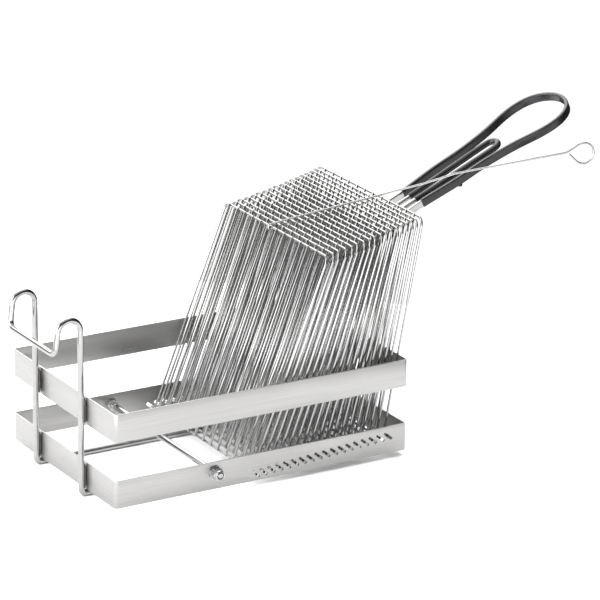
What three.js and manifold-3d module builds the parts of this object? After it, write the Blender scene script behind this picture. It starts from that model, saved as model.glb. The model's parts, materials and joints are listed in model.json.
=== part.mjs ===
// Wire page basket: two rectangular steel bands joined by a hanger wire, eighteen welded wire
// pages that swing in slanted slots of the lower band, a dipped handle on the last page and a
// pull rod on the first one. Millimetres, +Z up, +X towards the handle.
import * as THREE from 'three';
import { mergeVertices } from 'three/addons/utils/BufferGeometryUtils.js';
import Module from 'manifold-3d';

const wasm = await Module();
wasm.setup();

// ---- Driving dimensions -------------------------------------------------------------------
// Design frame: X from the bands' hook end, Y from the centre plane, Z from the lower band's
// bottom edge. The whole group is moved at the end so that its origin is at its bottom centre.

const GAP = 0.3; // left between pieces that touch

const BAND_LENGTH = 336;
const BAND_WIDTH = 220;
const BAND_HEIGHT = 29;
const BAND_SPACING = 69; // lower band's bottom edge to upper band's bottom edge
const STRIP = 1.5;
const BAND_CORNER = 4;

const PAGE_COUNT = 18;
const PAGE_WIRE = 2.5;
const FIRST_PAGE_HEIGHT = 228.5; // pivot to top wire
const LAST_PAGE_HEIGHT = 227;
const HOOP_HALF_WIDTH = 102;
const HOOP_CORNER = 8;
const UPRIGHT_COUNT = 12;
const UPRIGHT_PITCH = 15.8;
const UPRIGHT_OFFSET = 1.7; // uprights are sunk into the hoop side that faces the hooks
const FIRST_UPRIGHT_SHIFT = 5.2; // the middle of a page's uprights, from the centre plane
const LAST_UPRIGHT_SHIFT = -1.6;
const UPRIGHT_SCATTER = 0.7; // hand welding leaves each upright a little off its place
const UPRIGHT_WAVE = 2.4; // radians of scatter from one upright to the next
const PAGE_WAVE = 1.9; // and from one page to the next
const PIVOT_END = BAND_WIDTH / 2 + 0.2;
const FIRST_PIVOT = { x: 159.65, z: 6.5 };
const LAST_PIVOT = { x: 313.2, z: 19.3 };
const FIRST_LEAN = 21.7; // degrees from upright, towards the handle
const LAST_LEAN = 10.45;
const FIRST_LEAN_STEP = 0.35; // the fan opens slowly at the first page and faster at the last
const LEAN_SCATTER = 0.28; // the pages lie a little unevenly in the fan
const LEAN_SCATTER_FADE = 0.8; // share of the scatter that is gone where the fan is tight
const LEAN_WAVES = 6; // whole waves of scatter, so that the first and last pages have none

const SLOT_LENGTH = 12;
const SLOT_WIDTH = PAGE_WIRE + 2 * GAP;
const SLOT_SLANT = 39; // degrees, down towards the handle
const FIRST_PIVOT_IN_SLOT = 1.4; // pivot's place along its slot, from the slot's centre
const LAST_PIVOT_IN_SLOT = -0.7;

const HANGER_WIRE = 6.2;
const HANGER_HALF_WIDTH = 49;
const RAIL_Z = -3.6;
const LEG_X = -5.2;
const RAIL_BEND = 5.4; // small enough to clear the lower band's bottom corner
const HOOK_RADIUS = 12.5;
const HOOK_TOP_Z = 180;
const HOOK_INNER_X = -5.5;
const CROSSBAR_X = -33;
const CROSSBAR_Z = 146;
const CROSSBAR_BEND = 8;

const ROD = 6.35;
const ROD_X = 112.5;
const ROD_Z = 17.7;
const ROD_HALF_LENGTH = 121.6;
const WASHER = { outer: 14.5, thickness: 1.5 };
const NUT_FLATS = 11.1;
const LOCK_NUT = { body: 6.4, collar: 2.4, collarDiameter: 10 };
const JAM_NUT_THICKNESS = 4;

const HANDLE_RISE = 24.5; // degrees
const GRIP_START = { x: 406.8, z: 227.1 }; // where the vinyl starts, on the centre plane
const OUTER_BAR = { tall: 7.5, thick: 2.5 };
const INNER_BAR = 5;
const VINYL = 0.6;
const INNER_LOOP_CENTRE = 104;
const INNER_LOOP_RADIUS = 8;

const PULL_ROD = 2;
const PULL_YAW = -17; // degrees, towards -Y
const PULL_Y = 10.3;
const EYE_RADIUS = 3.3;
const RING_RADIUS = 11;
const RING_OPENING = 1.8;

const degrees = (value) => (value * Math.PI) / 180;

// ---- Materials ----------------------------------------------------------------------------

const material = (color, roughness, metalness) =>
  new THREE.MeshStandardMaterial({ color, roughness, metalness });
const brushedSteel = material(0xb9b8b6, 0.38, 1);
const brightWire = material(0xc8c8c8, 0.22, 1);
const nutSteel = material(0xbdbdbf, 0.3, 1);
const blackVinyl = material(0x17171a, 0.35, 0);

// ---- Solids -------------------------------------------------------------------------------

function toSolid(geometry) {
  const bare = geometry.clone();
  bare.deleteAttribute('normal');
  bare.deleteAttribute('uv');
  const merged = mergeVertices(bare, 1e-4);
  return new wasm.Manifold(
    new wasm.Mesh({
      numProp: 3,
      vertProperties: new Float32Array(merged.attributes.position.array),
      triVerts: new Uint32Array(merged.index.array),
    }),
  );
}

function toGeometry(solid) {
  const { vertProperties, triVerts } = solid.getMesh();
  const geometry = new THREE.BufferGeometry();
  geometry.setAttribute('position', new THREE.BufferAttribute(vertProperties, 3));
  geometry.setIndex(new THREE.BufferAttribute(triVerts, 1));
  geometry.computeVertexNormals();
  return geometry;
}

const join = (geometries) =>
  toGeometry(geometries.map(toSolid).reduce((whole, piece) => whole.add(piece)));
const cut = (geometry, cutters) =>
  toGeometry(cutters.map(toSolid).reduce((whole, piece) => whole.subtract(piece), toSolid(geometry)));

function piece(name, geometry, look) {
  const mesh = new THREE.Mesh(geometry, look);
  mesh.name = name;
  return mesh;
}

// ---- Wires --------------------------------------------------------------------------------

// A path that a section is swept along with one ring of vertices at each of its points.
class WirePath extends THREE.Curve {
  constructor(points) {
    super();
    this.points = points;
  }

  get steps() {
    return this.points.length - 1;
  }

  getPointAt(u) {
    return this.points[Math.round(u * this.steps)].clone();
  }

  getTangentAt(u) {
    const index = Math.round(u * this.steps);
    const along = (from, to) => this.points[to].clone().sub(this.points[from]).normalize();
    const before = along(Math.max(index - 1, 0), Math.max(index, 1));
    const after = along(Math.min(index, this.steps - 1), Math.min(index + 1, this.steps));
    return before.add(after).normalize();
  }
}

const sweep = (section, points) => {
  const extrudePath = new WirePath(points);
  return new THREE.ExtrudeGeometry(section, { extrudePath, steps: extrudePath.steps });
};

// A regular polygon with the area of the round wire it stands for. At turn 0.5 a flat side
// faces the path's normal, and at turn 0 a corner does.
function wireSection(diameter, sides, turn = 0.5) {
  const area = (Math.PI * diameter ** 2) / 4;
  const radius = Math.sqrt((2 * area) / (sides * Math.sin((2 * Math.PI) / sides)));
  const corner = (i) => {
    const angle = ((i + turn) * 2 * Math.PI) / sides;
    return new THREE.Vector2(radius * Math.cos(angle), radius * Math.sin(angle));
  };
  return new THREE.Shape(Array.from({ length: sides }, (_, i) => corner(i)));
}

function rectangleSection(tall, thick) {
  const shape = new THREE.Shape();
  shape.moveTo(-tall / 2, -thick / 2);
  shape.lineTo(tall / 2, -thick / 2);
  shape.lineTo(tall / 2, thick / 2);
  shape.lineTo(-tall / 2, thick / 2);
  return shape;
}

// The points of a polyline whose inner corners are rounded. Each corner is {at, radius, steps}.
function roundedPath(start, corners, end) {
  const stops = [start, ...corners.map((corner) => corner.at), end];
  const points = [start];
  corners.forEach(({ at, radius, steps }, i) => {
    const back = stops[i].clone().sub(at).normalize();
    const ahead = stops[i + 2].clone().sub(at).normalize();
    const half = back.angleTo(ahead) / 2;
    const middle = back.clone().add(ahead).normalize();
    const centre = at.clone().addScaledVector(middle, radius / Math.sin(half));
    const first = at.clone().addScaledVector(back, radius / Math.tan(half)).sub(centre);
    const axis = ahead.clone().cross(back).normalize();
    for (let k = 0; k <= steps; k += 1) {
      const angle = ((Math.PI - 2 * half) * k) / steps;
      points.push(first.clone().applyAxisAngle(axis, angle).add(centre));
    }
  });
  points.push(end);
  return points;
}

const vector = (x, y, z) => new THREE.Vector3(x, y, z);

// ---- Bands --------------------------------------------------------------------------------

function roundedRectangle(shape, inset) {
  const [x0, x1] = [inset, BAND_LENGTH - inset];
  const y1 = BAND_WIDTH / 2 - inset;
  const radius = BAND_CORNER - inset;
  shape.absarc(x1 - radius, y1 - radius, radius, 0, Math.PI / 2);
  shape.absarc(x0 + radius, y1 - radius, radius, Math.PI / 2, Math.PI);
  shape.absarc(x0 + radius, -y1 + radius, radius, Math.PI, 1.5 * Math.PI);
  shape.absarc(x1 - radius, -y1 + radius, radius, 1.5 * Math.PI, 2 * Math.PI);
  return shape;
}

function bandStrip() {
  const outline = roundedRectangle(new THREE.Shape(), 0);
  outline.holes.push(roundedRectangle(new THREE.Path(), STRIP));
  return new THREE.ExtrudeGeometry(outline, {
    depth: BAND_HEIGHT,
    curveSegments: 2,
    bevelEnabled: false,
  });
}

// A cutter that goes through both long sides of a band.
function throughCutter(shape, curveSegments) {
  const depth = BAND_WIDTH + 20;
  const cutter = new THREE.ExtrudeGeometry(shape, { depth, curveSegments, bevelEnabled: false });
  cutter.rotateX(Math.PI / 2);
  cutter.translate(0, depth / 2, 0);
  return cutter;
}

function slotCutter(pivot) {
  const radius = SLOT_WIDTH / 2;
  const reach = SLOT_LENGTH / 2 - radius;
  const shape = new THREE.Shape();
  shape.absarc(reach, 0, radius, -Math.PI / 2, Math.PI / 2);
  shape.absarc(-reach, 0, radius, Math.PI / 2, 1.5 * Math.PI);
  const cutter = throughCutter(shape, 1);
  cutter.translate(-pivot.inSlot, 0, 0);
  cutter.rotateY(degrees(SLOT_SLANT));
  cutter.translate(pivot.x, 0, pivot.z);
  return cutter;
}

function rodHoleCutter() {
  const shape = new THREE.Shape();
  shape.absarc(0, 0, ROD / 2 + 2 * GAP, 0, 2 * Math.PI);
  const cutter = throughCutter(shape, 5);
  cutter.translate(ROD_X, 0, ROD_Z);
  return cutter;
}

// ---- Pages --------------------------------------------------------------------------------

const LEAN_CURVE =
  (FIRST_LEAN - LAST_LEAN - FIRST_LEAN_STEP * (PAGE_COUNT - 1)) / (PAGE_COUNT - 1) ** 2;

const leanScatter = (share) =>
  LEAN_SCATTER * (1 - LEAN_SCATTER_FADE * share) * Math.sin(2 * Math.PI * LEAN_WAVES * share);

const pivots = Array.from({ length: PAGE_COUNT }, (_, i) => {
  const share = i / (PAGE_COUNT - 1);
  return {
    x: THREE.MathUtils.lerp(FIRST_PIVOT.x, LAST_PIVOT.x, share),
    z: THREE.MathUtils.lerp(FIRST_PIVOT.z, LAST_PIVOT.z, share),
    lean: FIRST_LEAN - FIRST_LEAN_STEP * i - LEAN_CURVE * i ** 2 + leanScatter(share),
    inSlot: THREE.MathUtils.lerp(FIRST_PIVOT_IN_SLOT, LAST_PIVOT_IN_SLOT, share),
    height: THREE.MathUtils.lerp(FIRST_PAGE_HEIGHT, LAST_PAGE_HEIGHT, share),
    shift: THREE.MathUtils.lerp(FIRST_UPRIGHT_SHIFT, LAST_UPRIGHT_SHIFT, share),
  };
});

// The side of a square with the area of the round wire.
const UPRIGHT_SIDE = PAGE_WIRE * Math.sqrt(Math.PI / 4);

// One page stands in its own YZ plane with its pivot wire on the Y axis.
function pageGeometry({ height, shift }, page) {
  const corner = (side) => ({
    at: vector(0, side * HOOP_HALF_WIDTH, height),
    radius: HOOP_CORNER,
    steps: 2,
  });
  const hoop = sweep(
    wireSection(PAGE_WIRE, 4),
    roundedPath(
      vector(0, -HOOP_HALF_WIDTH, 0),
      [corner(-1), corner(1)],
      vector(0, HOOP_HALF_WIDTH, 0),
    ),
  );
  const pivotWire = sweep(wireSection(PAGE_WIRE, 4), [
    vector(0, -PIVOT_END, 0),
    vector(0, PIVOT_END, 0),
  ]);
  const uprights = Array.from({ length: UPRIGHT_COUNT }, (_, i) => {
    const upright = new THREE.BoxGeometry(UPRIGHT_SIDE, UPRIGHT_SIDE, height + 0.7 * PAGE_WIRE);
    const scatter = UPRIGHT_SCATTER * Math.sin(UPRIGHT_WAVE * i + PAGE_WAVE * page);
    const y = (i - (UPRIGHT_COUNT - 1) / 2) * UPRIGHT_PITCH + shift + scatter;
    upright.translate(-UPRIGHT_OFFSET, y, height / 2);
    return upright;
  });
  return join([hoop, pivotWire, ...uprights]);
}

// ---- Hanger wire --------------------------------------------------------------------------

function hangerGeometry() {
  const y = HANGER_HALF_WIDTH;
  const hookCentre = vector(HOOK_INNER_X - HOOK_RADIUS, 0, HOOK_TOP_Z - HOOK_RADIUS);
  const HOOK_STEPS = 7;
  const farHalf = roundedPath(
    vector(BAND_LENGTH, y, RAIL_Z),
    [{ at: vector(LEG_X, y, RAIL_Z), radius: RAIL_BEND, steps: 4 }],
    vector(HOOK_INNER_X, y, hookCentre.z),
  );
  for (let k = 1; k <= HOOK_STEPS; k += 1) {
    const angle = (Math.PI * k) / HOOK_STEPS;
    const out = vector(Math.cos(angle), 0, Math.sin(angle)).multiplyScalar(HOOK_RADIUS);
    farHalf.push(hookCentre.clone().add(out).setY(y));
  }
  const crossbar = roundedPath(
    farHalf.pop(),
    [{ at: vector(CROSSBAR_X, y, CROSSBAR_Z), radius: CROSSBAR_BEND, steps: 3 }],
    vector(CROSSBAR_X, 0, CROSSBAR_Z),
  );
  crossbar.pop();
  farHalf.push(...crossbar);
  const nearHalf = farHalf.map((point) => vector(point.x, -point.y, point.z)).reverse();
  return sweep(wireSection(HANGER_WIRE, 6), [...farHalf, ...nearHalf]);
}

// ---- Cross rod and its fasteners ----------------------------------------------------------

// A ring about the Y axis between two heights.
function ring(innerRadius, outerRadius, from, to, segments) {
  const profile = [
    new THREE.Vector2(innerRadius, from),
    new THREE.Vector2(outerRadius, from),
    new THREE.Vector2(outerRadius, to),
    new THREE.Vector2(innerRadius, to),
    new THREE.Vector2(innerRadius, from),
  ];
  return new THREE.LatheGeometry(profile, segments);
}

const ROD_BORE = ROD / 2 + 2 * GAP;

// A hexagon about the Y axis with the rod's bore through it.
function hexBody(from, to) {
  const hexagon = new THREE.LatheGeometry(
    [
      new THREE.Vector2(0, from),
      new THREE.Vector2(NUT_FLATS / Math.sqrt(3), from),
      new THREE.Vector2(NUT_FLATS / Math.sqrt(3), to),
      new THREE.Vector2(0, to),
    ],
    6,
  );
  const bore = new THREE.CylinderGeometry(ROD_BORE, ROD_BORE, 4 * (to - from), 12);
  return cut(hexagon, [bore]);
}

function lockNutGeometry() {
  const collar = ring(
    ROD_BORE,
    LOCK_NUT.collarDiameter / 2,
    LOCK_NUT.body - 0.5,
    LOCK_NUT.body + LOCK_NUT.collar,
    12,
  );
  return join([hexBody(0, LOCK_NUT.body), collar]);
}

// The fasteners of one side, laid out from the band's wall outwards and inwards along +Y.
function rodFasteners(label) {
  const outside = BAND_WIDTH / 2 + GAP;
  const inside = BAND_WIDTH / 2 - STRIP - GAP;
  const washer = piece(
    `${label}_washer`,
    ring(ROD_BORE, WASHER.outer / 2, 0, WASHER.thickness, 16),
    nutSteel,
  );
  washer.position.y = outside;
  const lockNut = piece(`${label}_lock_nut`, lockNutGeometry(), nutSteel);
  lockNut.position.y = outside + WASHER.thickness + GAP;
  const jamNut = piece(`${label}_jam_nut`, hexBody(0, JAM_NUT_THICKNESS), nutSteel);
  jamNut.position.y = inside - JAM_NUT_THICKNESS;
  const side = new THREE.Group();
  side.add(washer, lockNut, jamNut);
  return side;
}

function rodAssembly() {
  const rod = new THREE.CylinderGeometry(ROD / 2, ROD / 2, 2 * ROD_HALF_LENGTH, 12);
  const farSide = rodFasteners('far');
  const nearSide = rodFasteners('near');
  nearSide.rotation.x = Math.PI;
  const assembly = new THREE.Group();
  assembly.add(piece('cross_rod', rod, brightWire), farSide, nearSide);
  assembly.position.set(ROD_X, 0, ROD_Z);
  return assembly;
}

// ---- Handle -------------------------------------------------------------------------------
// Built flat: X along the handle from where the vinyl starts, Y across, Z its normal.

// Half-widths of the outer loop along the handle. The first point is behind the last page,
// whose uprights the bars are trimmed to.
const OUTER_LOOP = [
  [-75, 24.6],
  [-44, 21],
  [-15, 18.6],
  [0, 18.5],
  [45, 22],
  [75, 22],
  [95, 23.5],
  [119, 27.2],
  [146, 34],
  [162, 35.6],
  [176, 33.4],
  [188, 26.5],
  [196.5, 14.5],
];
const OUTER_LOOP_TIP = 199.5;

const INNER_ARM = [
  [-75, 8.2],
  [-40, 6.4],
  [-12, 6],
  [0, 6],
  [60, 7.6],
];

// A smooth loop through an arm's points, round the tip and back along the other arm.
function loopPoints(arm, tip) {
  const out = arm.map(([s, y]) => vector(s, y, 0));
  const back = arm.map(([s, y]) => vector(s, -y, 0)).reverse();
  const curve = new THREE.CatmullRomCurve3([...out, ...tip, ...back], false, 'centripetal');
  return curve.getPoints(2 * (curve.points.length - 1));
}

const outerLoop = loopPoints(OUTER_LOOP, [vector(OUTER_LOOP_TIP, 0, 0)]);

const innerTip = Array.from({ length: 5 }, (_, k) => {
  const angle = Math.PI / 2 - (Math.PI * k) / 4;
  const x = INNER_LOOP_CENTRE + INNER_LOOP_RADIUS * Math.cos(angle);
  return vector(x, INNER_LOOP_RADIUS * Math.sin(angle), 0);
});
const innerLoop = loopPoints(INNER_ARM, innerTip);

const gripPoints = (points) => points.filter((point) => point.x >= 0);

function sleeve(outer, inner, points) {
  outer.holes.push(inner);
  return sweep(outer, gripPoints(points));
}

function poseMatrix(x, z, turn) {
  return new THREE.Matrix4().makeTranslation(x, 0, z).multiply(new THREE.Matrix4().makeRotationY(turn));
}

// The handle's pose, and the space behind the last page's uprights in the handle's own frame.
const handlePose = poseMatrix(GRIP_START.x, GRIP_START.z, -degrees(HANDLE_RISE));

function behindLastPage() {
  const last = pivots[PAGE_COUNT - 1];
  const depth = 30;
  const block = new THREE.BoxGeometry(depth, 80, 80);
  const face = -UPRIGHT_OFFSET + UPRIGHT_SIDE / 2 + GAP;
  block.translate(face - depth / 2, 0, last.height - 45);
  block.applyMatrix4(poseMatrix(last.x, last.z, degrees(last.lean)));
  return block.applyMatrix4(handlePose.clone().invert());
}

function outerGripGeometry() {
  const clear = 2 * GAP;
  const coat = clear + 2 * VINYL;
  return sleeve(
    rectangleSection(OUTER_BAR.tall + coat, OUTER_BAR.thick + coat),
    rectangleSection(OUTER_BAR.tall + clear, OUTER_BAR.thick + clear),
    outerLoop,
  );
}

function innerGripGeometry() {
  const clear = INNER_BAR + 2 * GAP;
  return sleeve(wireSection(clear + 2 * VINYL, 8), wireSection(clear, 8), innerLoop);
}

function handleAssembly() {
  const trim = [behindLastPage()];
  const outerBar = cut(sweep(rectangleSection(OUTER_BAR.tall, OUTER_BAR.thick), outerLoop), trim);
  const innerBar = cut(sweep(wireSection(INNER_BAR, 8), innerLoop), trim);
  const handle = new THREE.Group();
  handle.add(
    piece('handle_outer_bar', outerBar, brightWire),
    piece('handle_inner_bar', innerBar, brightWire),
    piece('outer_grip', outerGripGeometry(), blackVinyl),
    piece('inner_grip', innerGripGeometry(), blackVinyl),
  );
  handle.applyMatrix4(handlePose);
  return handle;
}

// ---- Pull rod -----------------------------------------------------------------------------
// Built flat in XZ from the first page's top wire, which its eye goes round, then turned to
// its yaw.

const EYE_CENTRE = vector(0.3, 0, -0.5);
const ROD_BENDS = [vector(18, 0, 7), vector(160, 0, 36), vector(192, 0, 44.5)];
const ROD_END = vector(312, 0, 60.4);
const RING_CENTRE = vector(329.5, 0, 58.4);

function arcPoints(centre, radius, from, to, steps) {
  return Array.from({ length: steps + 1 }, (_, k) => {
    const angle = from + ((to - from) * k) / steps;
    return vector(centre.x + radius * Math.cos(angle), 0, centre.z + radius * Math.sin(angle));
  });
}

// The ring starts from its upper leg, goes round the far side and comes back on its lower leg
// to a tail that stops short of the rod's end.
function pullRodGeometry() {
  const back = ROD_END.clone().sub(RING_CENTRE);
  const facing = Math.atan2(back.z, back.x);
  const reach = Math.acos(RING_RADIUS / back.length());
  const far = facing + reach - 2 * Math.PI;
  const ringArc = arcPoints(RING_CENTRE, RING_RADIUS, facing - reach, far, 14);
  const lowerLeg = ringArc[14].clone().sub(ROD_END).normalize();
  const tail = ROD_END.clone().addScaledVector(lowerLeg, RING_OPENING + PULL_ROD);
  const section = wireSection(PULL_ROD, 6);
  const start = EYE_CENTRE.clone().add(vector(0, 0, EYE_RADIUS));
  const shaft = sweep(section, [start, ...ROD_BENDS, ROD_END, ...ringArc, tail]);
  const eyeArc = arcPoints(EYE_CENTRE, EYE_RADIUS, Math.PI / 2 - 0.1, 2.4 * Math.PI, 12);
  return join([shaft, sweep(section, eyeArc)]);
}

// ---- Assembly -----------------------------------------------------------------------------

const basket = new THREE.Group();

const slots = pivots.map(slotCutter);
const lowerBand = piece('lower_band', cut(bandStrip(), [...slots, rodHoleCutter()]), brushedSteel);
const upperBand = piece('upper_band', bandStrip(), brushedSteel);
upperBand.position.z = BAND_SPACING;
basket.add(lowerBand, upperBand);
basket.add(piece('hanger_wire', hangerGeometry(), brightWire));
basket.add(rodAssembly());

pivots.forEach((pivot, i) => {
  const name = `page_${String(i + 1).padStart(2, '0')}`;
  const page = piece(name, pageGeometry(pivot, i), brightWire);
  page.position.set(pivot.x, 0, pivot.z);
  page.rotation.y = degrees(pivot.lean);
  basket.add(page);
});

basket.add(handleAssembly());

const firstPage = pivots[0];
const pullRod = piece('pull_rod', pullRodGeometry(), brightWire);
pullRod.position.set(
  firstPage.x + firstPage.height * Math.sin(degrees(firstPage.lean)),
  PULL_Y,
  firstPage.z + firstPage.height * Math.cos(degrees(firstPage.lean)),
);
pullRod.rotation.z = degrees(PULL_YAW);
basket.add(pullRod);

const size = new THREE.Box3().setFromObject(basket, true);
const middle = size.getCenter(vector(0, 0, 0));
basket.position.set(-middle.x, -middle.y, -size.min.z);

export default basket;
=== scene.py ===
"""Looks of the wire page basket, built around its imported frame. Blender 4.5, metres, +Z up.

Design positions are in millimetres, as in the CAD source: X from the bands' hook end, Y from
the centre plane and Z from the lower band's bottom edge. at() turns them into the frame's metres.
"""
import json
import math

import bmesh
import bpy
from mathutils import Matrix, Vector, noise


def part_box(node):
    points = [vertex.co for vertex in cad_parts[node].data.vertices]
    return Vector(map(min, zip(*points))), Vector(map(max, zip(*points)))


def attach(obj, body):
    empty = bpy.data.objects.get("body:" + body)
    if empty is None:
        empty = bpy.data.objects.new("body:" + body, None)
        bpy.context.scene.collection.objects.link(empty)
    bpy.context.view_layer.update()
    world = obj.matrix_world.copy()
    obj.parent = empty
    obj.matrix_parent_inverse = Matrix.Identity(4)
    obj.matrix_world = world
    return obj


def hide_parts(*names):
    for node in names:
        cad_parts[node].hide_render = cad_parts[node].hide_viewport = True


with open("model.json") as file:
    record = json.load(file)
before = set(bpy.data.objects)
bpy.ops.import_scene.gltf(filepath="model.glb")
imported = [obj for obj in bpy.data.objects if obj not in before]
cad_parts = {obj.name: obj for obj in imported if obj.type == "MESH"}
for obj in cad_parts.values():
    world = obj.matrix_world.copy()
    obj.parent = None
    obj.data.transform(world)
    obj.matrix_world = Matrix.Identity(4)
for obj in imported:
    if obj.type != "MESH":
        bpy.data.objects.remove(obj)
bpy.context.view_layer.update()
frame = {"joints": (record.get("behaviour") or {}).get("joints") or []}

band_low, band_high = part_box("lower_band")
joints = {joint["name"]: joint for joint in frame["joints"]}

MM = 0.001

# ---- Driving dimensions, in millimetres and degrees -----------------------------------------

BAND_LENGTH = (band_high.x - band_low.x) / MM
BAND_WIDTH = (band_high.y - band_low.y) / MM
BAND_HEIGHT = (band_high.z - band_low.z) / MM
BAND_SPACING = (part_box("upper_band")[0].z - band_low.z) / MM
STRIP = 1.5
STRIP_EDGE = 0.3
BAND_CORNER = 4.0
BEND_STEPS = 8  # points round each bend

WIRE_CUT_ROUNDING = 0.25  # length of a wire's rounded cut end, as a share of its radius
WIRE_CUT_SCALE = 0.78  # width of the cut face, as a share of the wire
CREASE = 35.0  # faces that meet at a greater angle keep a sharp edge between them

PAGE_COUNT = 18
PAGE_WIRE = 2.5
FIRST_PAGE_HEIGHT = 228.5
LAST_PAGE_HEIGHT = 227.0
HOOP_HALF_WIDTH = 102.0
HOOP_CORNER = 8.0
UPRIGHT_COUNT = 12
UPRIGHT_PITCH = 15.8
UPRIGHT_OFFSET = 1.7
FIRST_UPRIGHT_SHIFT = 5.2
LAST_UPRIGHT_SHIFT = -1.6
UPRIGHT_SCATTER = 0.7
UPRIGHT_WAVE = 2.4
PAGE_WAVE = 1.9
PIVOT_END = BAND_WIDTH / 2 + 0.4
FIRST_LEAN = 21.7
LAST_LEAN = 10.45
FIRST_LEAN_STEP = 0.35
LEAN_SCATTER = 0.28
LEAN_SCATTER_FADE = 0.8
LEAN_WAVES = 6
CROSSING_BEAD = (0.9, 1.45, 1.45)
PIVOT_BEAD = (1.6, 1.7, 1.7)
UPRIGHT_OVERHANG = 0.35  # of the wire's diameter, past the wires that an upright crosses
PIVOT_TIP = 0.5  # length of a pivot wire's end that is painted dark, as shade where it sits in its slot

SLOT_LENGTH = 12.0
SLOT_WIDTH = 3.1
SLOT_SLANT = 39.0
FIRST_PIVOT_IN_SLOT = 1.4
LAST_PIVOT_IN_SLOT = -0.7

HANGER_WIRE = 6.2
HANGER_HALF_WIDTH = 49.0
RAIL_Z = -3.6
LEG_X = -5.2
RAIL_BEND = 5.4
HOOK_RADIUS = 12.5
HOOK_TOP_Z = 180.0
HOOK_INNER_X = -5.5
CROSSBAR_X = -33.0
CROSSBAR_Z = 146.0
CROSSBAR_BEND = 8.0
HOOK_STEPS = 24
# Each leg's bead runs most of a band's height: a dark strip of painted shade between leg and band.
LEG_BEAD_SHADE = (1.4, 1.7, 0.47 * BAND_HEIGHT)
LEG_BEAD_X = -1.2
RAIL_BEAD = (2.6, 2.4, 1.1)
RAIL_BEAD_INSET = 1.5
RAIL_BEAD_Z = -0.6

ROD = 6.35
ROD_X = 112.5
ROD_Z = 17.7
ROD_HALF_LENGTH = 121.6
THREAD_PITCH = 1.27
THREAD_DEPTH = 0.65
THREAD_LENGTH = 24.0
THREAD_LEAD_IN = 1.2
THREAD_RUN_OUT = 1.5
ROD_END_CHAMFER = 0.5
WASHER_OUTER = 14.5
WASHER_THICKNESS = 1.5
NUT_FLATS = 11.1
NUT_FACE = 0.97  # radius of a nut's flat face, as a share of half its width
NUT_CHAMFER_SLOPE = 1.9
NUT_BORE_CLEARANCE = 0.05
NUT_BORE_CHAMFER = 0.3
NUT_SIDES = 96
LOCK_NUT_BODY = 6.4
COLLAR_HEIGHT = 2.4
COLLAR_DIAMETER = 10.0
COLLAR_WALL = 1.2
COLLAR_ROOT = 0.4
COLLAR_ROLL = 0.8
JAM_NUT_THICKNESS = 4.0
FIT_GAP = 0.3
STACK_GAP = 0.1  # between two fasteners that bear on each other

HANDLE_RISE = 24.5
GRIP_START = (406.8, 227.1)
OUTER_BAR_TALL = 7.5
OUTER_BAR_THICK = 2.5
INNER_BAR = 5.0
VINYL = 0.9
INNER_LOOP_CENTRE = 104.0
INNER_LOOP_RADIUS = 8.0
BAR_END_SINK = 0.3  # how far a bar's end goes into the uprights that it is welded to
LIP_LENGTH = 0.8
LIP_SCALE = 0.93
DRIP_PLACE = (46, -22.2)
DRIP_BEAD = (2.6, 1.3, 2.3)
DRIP_HANG = 0.4

PULL_ROD = 2.0
PULL_YAW = -17.0
EYE_CENTRE = (0.3, -0.5)
EYE_RADIUS = 3.3
ROD_BENDS = [(18, 7), (160, 36), (192, 44.5)]
ROD_BEND_RADIUS = 20
ROD_END = (312, 60.4)
RING_CENTRE = (329.5, 58.4)
RING_RADIUS = 11.0
RING_OPENING = 1.8

CAMERA_AZIMUTH = -30.891
CAMERA_ELEVATION = 19.105
CAMERA_ROLL = 0.789
CAMERA_DISTANCE = 3991.3
CAMERA_RIGHT = 92.31
CAMERA_UP = 147.05
CAMERA_LENS = 234.39

FLOOR_RADIUS = 0.58  # metres
FLOOR_CENTRE = (-0.2, 0.0)  # metres
FLOOR_GREY = 0.72
FLOOR_GREY_IN_VIEW = 0.98

# Glows in the sky: azimuth, elevation, the angle within which each is full, the angle at which
# it is gone, and its strength.
GLOWS = [
    (-142, -10, 10, 28, 3.4),
    (-104, -10, 10, 28, 3.2),
    (170, 18, 14, 38, 4.4),
    (80, 36, 20, 42, 3.0),
    (-59, -19, 8, 24, 1.4),
    (121, -19, 8, 24, 1.6),
    (0, 90, 20, 45, 0.9),
]
DIFFUSE_ONLY_GLOW = (0, 90, 25, 60, 2.6)
SKY_AMBIENT = 0.04
BACKDROP = 1.05


def at(x, y, z):
    """The frame point of a design position in millimetres."""
    return Vector((band_low.x + x * MM, y * MM, band_low.z + z * MM))


def lerp(a, b, share):
    return a + (b - a) * share


# ---- Mesh building --------------------------------------------------------------------------


class Shell:
    """Closed shells made of rings of points, in metres."""

    def __init__(self):
        self.points = []
        self.faces = []

    def rings(self, rings, loop=False):
        """Joins rings of equal size into a skin, with a flat cap at each end unless it loops."""
        first = len(self.points)
        size = len(rings[0])
        for ring in rings:
            self.points.extend(ring)
        spans = len(rings) if loop else len(rings) - 1
        for i in range(spans):
            here = first + i * size
            there = first + (i + 1) % len(rings) * size
            for k in range(size):
                after = (k + 1) % size
                self.faces.append((here + k, here + after, there + after, there + k))
        if not loop:
            last = first + (len(rings) - 1) * size
            self.faces.append(tuple(first + k for k in reversed(range(size))))
            self.faces.append(tuple(last + k for k in range(size)))

    def mesh(self, name):
        """The shells as a mesh, with their faces turned outwards."""
        mesh = bpy.data.meshes.new(name)
        mesh.from_pydata([tuple(p) for p in self.points], [], self.faces)
        edit = bmesh.new()
        edit.from_mesh(mesh)
        bmesh.ops.recalc_face_normals(edit, faces=edit.faces)
        edit.to_mesh(mesh)
        edit.free()
        return mesh

    def build(self, name, material, body, slot, smooth=CREASE):
        """Makes the shells into a piece that rides on its CAD body."""
        return finish_piece(name, self.mesh(name), material, body, smooth)


def shade(mesh, smooth):
    """Smooth shading, with sharp edges where faces meet at more than this angle."""
    mesh.shade_smooth()
    mesh.set_sharp_from_angle(angle=math.radians(smooth))


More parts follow.
